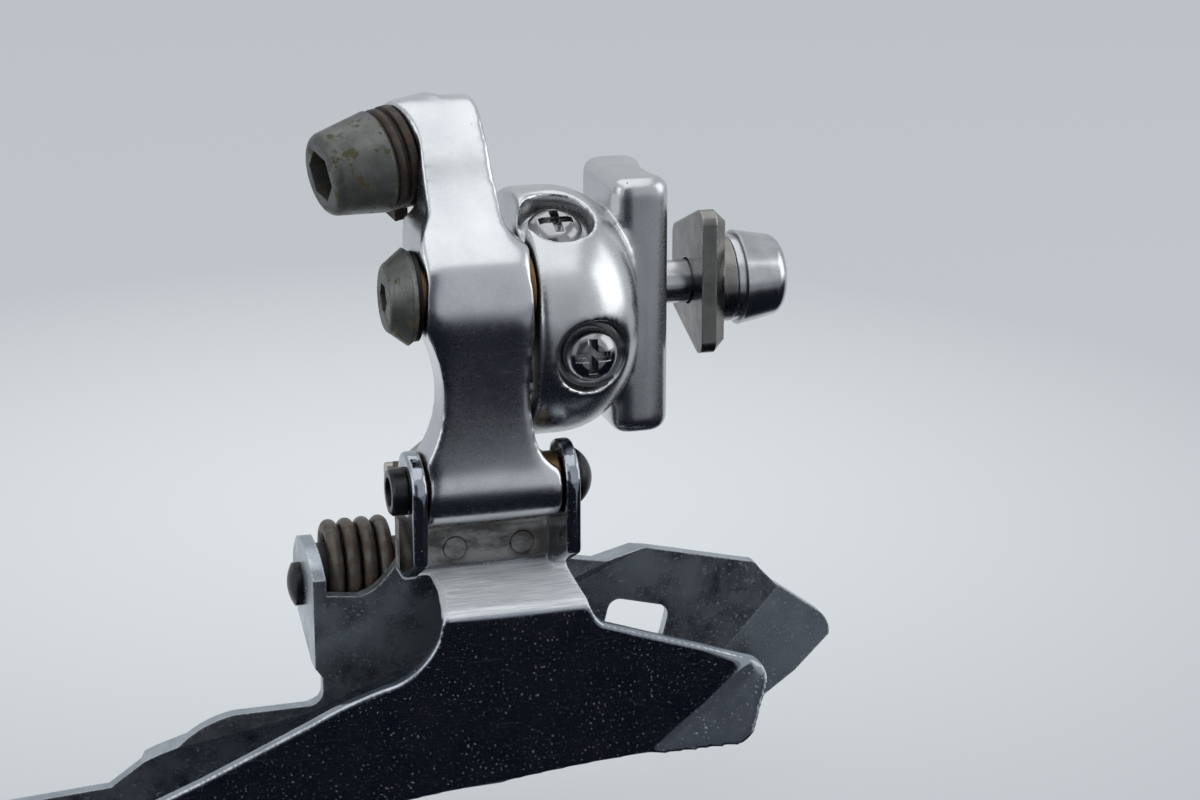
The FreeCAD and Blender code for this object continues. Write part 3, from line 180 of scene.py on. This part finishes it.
def relief(tree, height, depth, edge=0.0):
    """A normal with the height field raised depth mm. Where edge is given, edges are rounded by edge mm."""
    bump = add(tree, "ShaderNodeBump", {"Height": height, "Strength": 1.0, "Distance": depth * MM})
    if edge:
        rounded = add(tree, "ShaderNodeBevel", {"Radius": edge * MM}, samples=4)
        tree.links.new(rounded.outputs["Normal"], bump.inputs["Normal"])
    return bump.outputs["Normal"]


# ---------------------------------------------------------------- materials

# Where use shows on the outer cage plate, in mm: the shelf, brushed and whitened as a painted highlight, and
# the web between the ears.
SHELF_HEIGHTS = (-32.0, -29.0)
WEB_HEIGHTS = (-28.2, -23.0)
WEB_DEPTHS = (-9.3, 0.0)


def tumbled_aluminium(name, colour, shade, roughness):
    """Aluminium, forged and tumble polished: soft reflections, hazy patches, fine scratches, brown pits and
    painted shade in its corners."""
    material, tree, place = start(name)
    haze = noise(tree, place, 6.0, 3)
    fine = noise(tree, place, 0.35, 3)
    scratch = remap(tree, noise(tree, place, 0.14, 2, 0.5, (14, 14, 1)), 0.66, 0.74)
    pits = remap(tree, noise(tree, place, 0.8, 2), 0.775, 0.80)
    corner_shade = shaded_corners(tree, 1.0)
    base = mix(tree, remap(tree, haze, 0.35, 0.7), linear(colour), linear(shade))
    base = mix(tree, pits, base, linear("#6E5A48"))
    # Painted shade: darker brown-grey in the corners that the AO node finds.
    base = mix(tree, corner_shade, base, linear("#57524C"))
    rough = plus(tree, remap(tree, haze, 0.3, 0.7, roughness - 0.02, roughness + 0.05),
                 remap(tree, fine, 0.3, 0.7, -0.02, 0.03))
    rough = plus(tree, rough, remap(tree, scratch, 0, 1, 0, 0.10))
    rough = plus(tree, rough, remap(tree, corner_shade, 0, 1, 0, 0.25))
    waves = noise(tree, place, 2.5, 2)
    return close(material, tree, base, remap(tree, pits, 0, 1, 1, 0.5), rough, relief(tree, waves, 0.006))


def band(tree, place, axis, low, high, soft=0.5):
    """1 where the place along an axis is between low and high mm, fading over soft mm."""
    along = add(tree, "ShaderNodeSeparateXYZ", {"Vector": place}).outputs[axis]
    above = remap(tree, along, (low - soft) * MM, low * MM)
    below = remap(tree, along, (high + soft) * MM, high * MM)
    return times(tree, above, below)


def chrome_plate(name, colour, shade, roughness, clouds, used=False):
    """Pressed steel, chrome plated: a dark mirror with dust, faint scratches, cloudy patches, painted shade
    in its corners and bright edges that are painted highlights. clouds is how milky the patches are. used
    adds the brushed shelf, whose near-white colour is partly a painted highlight, and the grimy web between
    the ears."""
    material, tree, place = start(name)
    patch = noise(tree, place, 4.0, 5, 0.62)
    dust = remap(tree, noise(tree, place, 0.34, 1, 0.5), 0.64, 0.74)
    film = remap(tree, noise(tree, place, 3.2, 4, 0.6), 0.42, 0.68)
    scratch = remap(tree, noise(tree, place, 0.16, 2, 0.5, (40, 40, 1)), 0.68, 0.80)
    speckle = remap(tree, noise(tree, place, 0.45, 3, 0.6), 0.40, 0.58)
    edge_glint = times(tree, glint_edges(tree, 0.35), speckle)
    corner_shade = shaded_corners(tree, 1.5)
    marks = plus(tree, times(tree, dust, remap(tree, film, 0, 1, 0.25, 0.8)), times(tree, scratch, 0.15))
    milk = times(tree, remap(tree, patch, 0.32, 0.74), clouds)
    base = mix(tree, remap(tree, patch, 0.4, 0.7), linear(colour), linear(shade))
    # Painted shade: brown in the corners that the AO node finds.
    base = mix(tree, corner_shade, base, linear("#54463B"))
    base = mix(tree, marks, base, linear("#8A8E95"))
    base = mix(tree, milk, base, linear("#7E868E"))
    # Painted highlight: speckled near-white along the edges and bends.
    base = mix(tree, edge_glint, base, linear("#D2D4D6"))
    metal = times(tree, remap(tree, marks, 0, 1, 1, 0.35), remap(tree, milk, 0, 1, 1, 0.4))
    rough = plus(tree, remap(tree, patch, 0.35, 0.72, roughness, roughness + 0.12),
                 remap(tree, marks, 0, 1, 0, 0.35))
    rough = plus(tree, rough, remap(tree, edge_glint, 0, 1, 0, 0.22))
    height = noise(tree, place, 3.0, 2)
    if used:
        brushed = band(tree, place, "Z", *SHELF_HEIGHTS)
        grain = noise(tree, place, 0.12, 3, 0.6, (40, 1, 1))
        metal = times(tree, metal, remap(tree, brushed, 0, 1, 1, 0.15))
        rough = plus(tree, rough, times(tree, brushed, remap(tree, grain, 0.3, 0.7, 0.24, 0.42)))
        # Painted highlight: the brushed shelf turns near-white where the grain is high, in place of the
        # overhead softbox's reflection.
        painted_shelf_highlight = times(tree, brushed, remap(tree, grain, 0.38, 0.60, 0.4, 1.0))
        base = mix(tree, painted_shelf_highlight, base, linear("#F2F4F6"))
        height = plus(tree, height, times(tree, brushed, grain))
        web = times(tree, band(tree, place, "Z", *WEB_HEIGHTS), band(tree, place, "Y", *WEB_DEPTHS))
        crust = remap(tree, noise(tree, place, 2.4, 5, 0.65, (2, 1, 1)), 0.44, 0.60)
        grime = mix(tree, crust, linear("#4B443D"), linear("#9B9A96"))
        base = mix(tree, times(tree, web, 0.85), base, grime)
        metal = times(tree, metal, remap(tree, web, 0, 1, 1, 0.25))
        rough = plus(tree, rough, times(tree, web, 0.4))
    return close(material, tree, base, metal, rough, relief(tree, height, 0.008, 0.15))


def machined_steel(name, colour, shade, roughness, grain=0.12):
    """Stainless steel, turned and polished: fine marks round it, bright edges that are painted highlights and
    painted shade in its corners."""
    material, tree, place = start(name)
    rings = noise(tree, place, grain, 2, 0.5, (1, 12, 12))
    smear = noise(tree, place, 2.5, 3)
    edge_glint = times(tree, glint_edges(tree, 0.3), remap(tree, smear, 0.35, 0.6))
    corner_shade = shaded_corners(tree, 0.9)
    base = mix(tree, remap(tree, smear, 0.35, 0.7), linear(colour), linear(shade))
    # Painted shade: near-black in the corners that the AO node finds.
    base = mix(tree, corner_shade, base, linear("#2E2A27"))
    # Painted highlight: near-white along the edges, in patches.
    base = mix(tree, edge_glint, base, linear("#D8D8D9"))
    rough = plus(tree, remap(tree, rings, 0.3, 0.7, roughness - 0.03, roughness + 0.05),
                 remap(tree, corner_shade, 0, 1, 0, 0.3))
    return close(material, tree, base, 1.0, rough, relief(tree, rings, 0.004, 0.2))


def tarnished_steel(name, colour, shade, stain, share, roughness, metal=0.85):
    """Zinc-plated steel gone dull: matte grey with olive and brown spots of corrosion, and painted shade in
    its corners.
    """
    material, tree, place = start(name)
    cloud = noise(tree, place, 3.0, 4, 0.6)
    spots = remap(tree, noise(tree, place, 1.6, 5, 0.65), share, share + 0.05)
    pepper = remap(tree, noise(tree, place, 0.4, 3), 0.60, 0.70)
    corner_shade = shaded_corners(tree, 1.0)
    base = mix(tree, remap(tree, cloud, 0.35, 0.68), linear(colour), linear(shade))
    base = mix(tree, times(tree, pepper, 0.4), base, linear("#45413A"))
    base = mix(tree, spots, base, linear(stain))
    # Painted shade: near-black in the corners that the AO node finds.
    base = mix(tree, corner_shade, base, linear("#1E1A17"))
    rough = plus(tree, remap(tree, cloud, 0.3, 0.7, roughness - 0.05, roughness + 0.06),
                 remap(tree, spots, 0, 1, 0, 0.2))
    return close(material, tree, base, remap(tree, spots, 0, 1, metal, 0.1), rough,
                 relief(tree, spots, 0.02, 0.25))


def plain_polymer(name, colour):
    """Greased acetal: dark and faintly glossy."""
    material, tree, place = start(name)
    film = noise(tree, place, 1.5, 3)
    base = mix(tree, remap(tree, film, 0.35, 0.7), linear(colour), linear("#0E0D0C"))
    return close(material, tree, base, 0.0, remap(tree, film, 0.3, 0.7, 0.35, 0.55), None, IOR=1.48)


def make_finishes():
    """A material for each of the record's slots."""
    return {
        "forged_alloy": tumbled_aluminium("tumbled_aluminium_body", "#D4D5D6", "#C4C6C8", 0.25),
        "polished_alloy": tumbled_aluminium("tumbled_aluminium_arm", "#DCDDDF", "#CDCFD2", 0.23),
        "stainless_bolt": machined_steel("turned_stainless", "#CDCED0", "#B2B4B6", 0.21),
        "clamp_plate": machined_steel("pressed_stainless", "#96938F", "#7A7875", 0.26),
        "rusted_washer": tarnished_steel("rusted_washer_steel", "#4A443F", "#38302A", "#3C2D22",
                                         0.50, 0.44, 0.6),
        "dull_bolt": tarnished_steel("dull_zinc_steel", "#6E706D", "#585A57", "#443F26", 0.56, 0.42, 0.75),
        "dark_washer": tarnished_steel("blackened_steel", "#2C2A29", "#1E1D1C", "#3A2E25", 0.62, 0.40),
        "bush": tarnished_steel("sintered_bronze", "#8A6E4C", "#6E5538", "#3C2E20", 0.62, 0.40),
        # Painted shade: the inner link's aluminium is a darker copy of the body's, for the cavity it sits in.
        "inner_link": tumbled_aluminium("tumbled_aluminium_link_shaded", "#A8A39C", "#8A847C", 0.30),
        "pin": tarnished_steel("oiled_pin_steel", "#3A3B3E", "#2A2B2D", "#4A3B30", 0.64, 0.32),
        "limit_screw": machined_steel("plated_screw_steel", "#B0B0B2", "#8E8E90", 0.15),
        "chromed_plate": chrome_plate("chrome_plate_outer", "#A9AEB6", "#8F949D", 0.06, 0.03, True),
        "chromed_inner_plate": chrome_plate("chrome_plate_inner", "#B8BEC5", "#9CA3AB", 0.22, 0.42),
        "spacer": tarnished_steel("zinc_spacer_steel", "#8C8D8E", "#6E6F70", "#4A3B30", 0.62, 0.35),
        "spring_bush": plain_polymer("greased_acetal", "#201C19"),
        "spring": tarnished_steel("rusted_spring_wire", "#5F5A54", "#45403A", "#4A382A", 0.52, 0.38, 0.6),
    }


def dress():
    """Gives every solid its slot's material, and the rivets that of the plates they join."""
    for part in parts.values():
        mesh = nodes[part["node"]].data
        mesh.materials.clear()
        slot = "chromed_plate" if "rivet" in part["node"] else part["material_slot"]
        mesh.materials.append(finishes[slot])


# ---------------------------------------------------------------- forgings and the cage

HOLLOW_DEPTH = 0.9
HOLLOW_LOW, HOLLOW_HIGH = 7.5, 20
ARM_FRONT = -6


def hollow_arm(point):
    """The arm's front sinks a little between its head and its barrel, so that it sweeps into the barrel."""
    _, out, up = (c / MM for c in point)
    if out < ARM_FRONT and HOLLOW_LOW < up < HOLLOW_HIGH:
        share = (up - HOLLOW_LOW) / (HOLLOW_HIGH - HOLLOW_LOW)
        point.y += HOLLOW_DEPTH * MM * math.sin(math.pi * share) ** 2


def rounded_copy(name, node, body, skin, passes, blends=(), shape=None):
    """The solid with its sharp edges rounded off, as forging, pressing and tumbling leave them.
    skin is the mesh's size in mm, and passes is how long it is tumbled. Each of blends is (middle,
    reach in mm, passes) of a place where its faces flow into each other. shape moves a point first."""
    piece = bpy.data.objects.new(name, nodes[node].data.copy())
    bpy.context.scene.collection.objects.link(piece)
    even = piece.modifiers.new("even_skin", "REMESH")
    even.mode = "VOXEL"
    even.voxel_size = skin * MM
    even.use_smooth_shade = True
    apply_modifiers(piece)
    if shape:
        for vertex in piece.data.vertices:
            shape(vertex.co)
    tumble(piece, passes)
    for middle, reach, more in blends:
        near = piece.vertex_groups.new(name="blend")
        for vertex in piece.data.vertices:
            away = math.dist([c / MM / r for c, r in zip(vertex.co, reach)],
                             [c / r for c, r in zip(middle, reach)])
            if away < 1:
                near.add([vertex.index], (1 - away * away) ** 2, "REPLACE")
        tumble(piece, more, near.name)
        piece.vertex_groups.clear()
    slot = parts[node]["material_slot"]
    piece.data.materials.clear()
    piece.data.materials.append(finishes[slot])
    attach(piece, body)
    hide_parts(node)


def tumble(piece, passes, group=""):
    """Smooths the piece, or the part of it in the vertex group."""
    smooth = piece.modifiers.new("tumbled", "SMOOTH")
    smooth.factor = 0.5
    smooth.iterations = passes
    smooth.vertex_group = group
    apply_modifiers(piece)


def apply_modifiers(piece):
    """Puts the mesh that the modifiers give in place of the piece's own."""
    graph = bpy.context.evaluated_depsgraph_get()
    mesh = bpy.data.meshes.new_from_object(piece.evaluated_get(graph), preserve_all_data_layers=True,
                                           depsgraph=graph)
    piece.modifiers.clear()
    piece.data = mesh


# ---------------------------------------------------------------- studio

FLOOR_HEIGHT = cad_box[0].z - 1 * MM
FLOOR_REACH = 3.0
# Painted pool of light on the floor: its seen colour is brightest within BRIGHT_REACH of this spot and dims
# by DIM_REACH.
BRIGHT_SPOT = (0, 120 * MM, 0)
BRIGHT_REACH, DIM_REACH = 50 * MM, 170 * MM
SEEN_SHARE = 0.72


def looked_at(tree):
    """1 for rays from the camera, in reflections or through glass, and 0 for light on the object."""
    rays = add(tree, "ShaderNodeLightPath").outputs
    shown = add(tree, "ShaderNodeMath", {0: rays["Is Camera Ray"], 1: rays["Is Glossy Ray"]},
                operation="MAXIMUM").outputs[0]
    return add(tree, "ShaderNodeMath", {0: shown, 1: rays["Is Transmission Ray"]},
               operation="MAXIMUM").outputs[0]


def plain_surface(name, colour, seen, seen_far):
    """A matte surface: colour under the lamps, and to the eye and in reflections mostly seen, a painted pool
    of light which fades to seen_far away from the bright spot. It keeps the object's shadow."""
    material, tree, place = start(name)
    from_spot = add(tree, "ShaderNodeVectorMath", {0: place, 1: BRIGHT_SPOT}, operation="SUBTRACT").outputs[0]
    away = add(tree, "ShaderNodeVectorMath", {0: from_spot}, operation="LENGTH").outputs["Value"]
    # Painted pool of light: seen fades to seen_far with distance from the bright spot.
    painted_pool = mix(tree, remap(tree, away, BRIGHT_REACH, DIM_REACH), linear(seen), linear(seen_far))
    matte = add(tree, "ShaderNodeBsdfDiffuse", {"Color": linear(colour)})
    glow = add(tree, "ShaderNodeEmission", {"Color": painted_pool, "Strength": 1.0})
    share = times(tree, looked_at(tree), SEEN_SHARE)
    both = add(tree, "ShaderNodeMixShader", {0: share, 1: matte.outputs[0], 2: glow.outputs[0]})
    out = add(tree, "ShaderNodeOutputMaterial")
    tree.links.new(both.outputs[0], out.inputs["Surface"])
    return material


def flat_glow(name, colour):
    """A card of one even colour."""
    material, tree, _ = start(name)
    glow = add(tree, "ShaderNodeEmission", {"Color": linear(colour), "Strength": 1.0})
    out = add(tree, "ShaderNodeOutputMaterial")
    tree.links.new(glow.outputs[0], out.inputs["Surface"])
    return material


def sheet_of(name, corners, material):
    mesh = bpy.data.meshes.new(name)
    mesh.from_pydata(corners, [], [tuple(range(len(corners)))])
    mesh.materials.append(material)
    thing = bpy.data.objects.new(name, mesh)
    bpy.context.scene.collection.objects.link(thing)
    return thing


def only_in_reflections(thing):
    for kind in ("camera", "diffuse", "shadow", "transmission", "volume_scatter"):
        setattr(thing, "visible_" + kind, False)


def lamp(name, place, aim, size, power):
    """A white softbox. place and aim are in metres."""
    data = bpy.data.lights.new(name, "AREA")
    data.shape = "RECTANGLE"
    data.size, data.size_y = size
    data.energy = power
    thing = bpy.data.objects.new(name, data)
    thing.location = place
    thing.rotation_euler = (Vector(aim) - Vector(place)).to_track_quat("-Z", "Y").to_euler()
    bpy.context.scene.collection.objects.link(thing)


def make_studio():
    """A pale floor, dark cards that only reflections show, three softboxes and a pale tent round it all."""
    far, z = FLOOR_REACH, FLOOR_HEIGHT
    sheet_of("floor", [(-far, -far, z), (far, -far, z), (far, far, z), (-far, far, z)],
             plain_surface("pale_floor", "#D9DBDD", "#E8EDF1", "#BAC0C5"))
    for name, colour, left, right, front, back, low, high in (
            ("near_dark_card", "#141821", -0.40, 0.40, 0.03, -0.13, 1, 2),
            ("far_dark_card", "#171B24", -0.40, 0.036, -0.13, -0.62, 2, 3),
            ("far_grey_card", "#8E9298", 0.036, 0.40, -0.13, -0.62, 2, 3),
            ("upright_card", "#565B63", -0.45, 0.03, -0.62, -0.66, 3, 500)):
        low, high = z + low * MM, z + high * MM
        corners = [(left, front, low), (right, front, low), (right, back, high), (left, back, high)]
        only_in_reflections(sheet_of(name, corners, flat_glow(name, colour)))
    lamp("overhead_softbox", (-0.05, 0.04, 0.80), (0, 0.04, 0), (1.6, 0.9), 3.1)
    lamp("left_softbox", (-0.8, -0.15, 0.25), (0, 0, 0), (0.5, 0.6), 0.9)
    lamp("right_softbox", (0.7, -0.20, 0.25), (0, 0, 0), (0.6, 0.6), 1.4)

    world = bpy.data.worlds.new("tent")
    bpy.context.scene.world = world
    world.use_nodes = True
    tree = world.node_tree
    tree.nodes.clear()
    colour = mix(tree, looked_at(tree), linear("#C4C8CC"), linear("#C6CBCF"))
    back = add(tree, "ShaderNodeBackground", {"Color": colour, "Strength": 1.0})
    out = add(tree, "ShaderNodeOutputWorld")
    tree.links.new(back.outputs[0], out.inputs["Surface"])
    bpy.context.scene.view_settings.view_transform = "Standard"


# ---------------------------------------------------------------- the scene

parts = {part["node"]: part for part in frame["record"]["subparts"]}
finishes = make_finishes()
make_camera()
dress()
rounded_copy("arm_forging", "outer_link", "outer_link", 0.28, 24,
             [((-24, -17.1, 7.8), (14, 4, 5), 240), ((-24, -17.9, 1.5), (14, 2.5, 5), 120),
              ((-24, -17, -16.5), (14, 3, 4), 80)], hollow_arm)
rounded_copy("body_forging", "body", "body", 0.30, 24)
rounded_copy("outer_cage", "outer_cage_plate", "cage", 0.26, 10,
             [((-21, -11, -32.6), (14, 7, 5), 200), ((5, -16.7, -43.5), (6, 3, 6), 80)])
make_studio()
